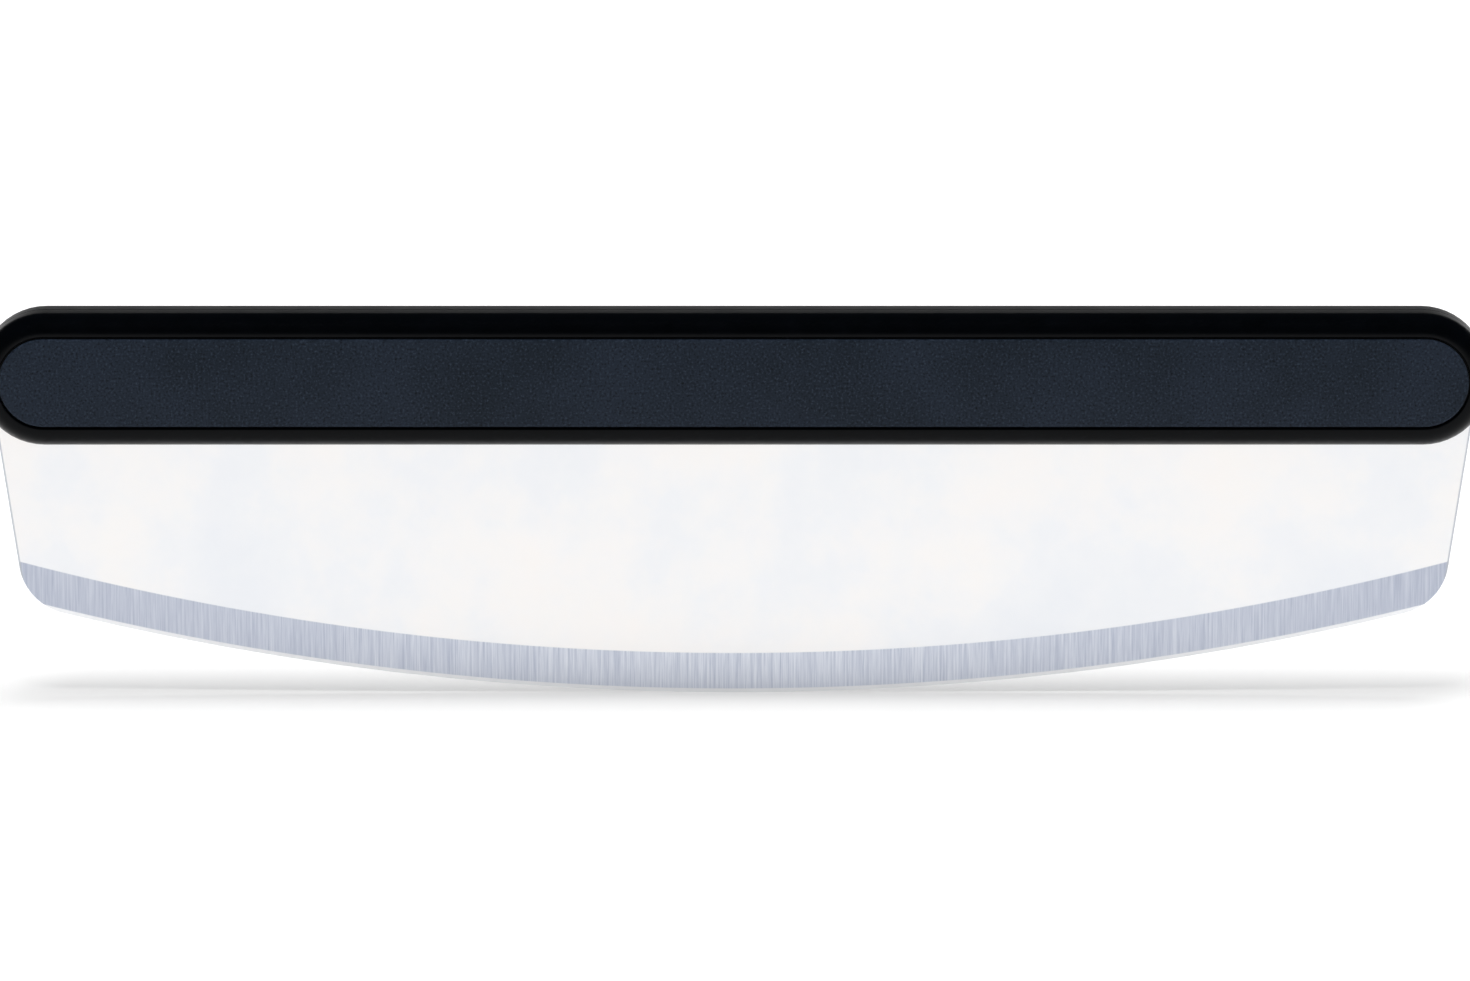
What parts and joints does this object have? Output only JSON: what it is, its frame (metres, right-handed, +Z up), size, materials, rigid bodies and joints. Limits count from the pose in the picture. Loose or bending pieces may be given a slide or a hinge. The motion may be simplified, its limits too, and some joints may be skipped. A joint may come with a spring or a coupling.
{
  "type": "rocking pizza knife",
  "caption": "Wide curved blade clamped along a long two-shell handle with textured grip panels, rocked over a pizza to cut it; upright on its cutting edge, front facing -Y.",
  "frame": {"origin": "Lowest point of the cutting edge, in the middle of the length and of the blade's thickness.", "axes": "X along the handle, Y through the blade's thickness with the front facing -Y, Z up from the edge to the handle."},
  "size_m": [0.365, 0.024, 0.0944],
  "materials": {
    "blade_steel": "satin stainless steel with a ground bevel",
    "handle_nylon": "smooth black moulded nylon",
    "grip_panel": "fine spark-textured charcoal plastic",
    "fastener_steel": "plain steel",
    "insert_brass": "turned brass"
  },
  "bodies": {
    "root": {"blade": "blade_steel", "front_shell": "handle_nylon", "rear_shell": "handle_nylon", "front_grip_panel": "grip_panel", "rear_grip_panel": "grip_panel", "handle_screws": "fastener_steel", "threaded_inserts": "insert_brass", "locating_pins": "fastener_steel"}
  },
  "joints": []
}
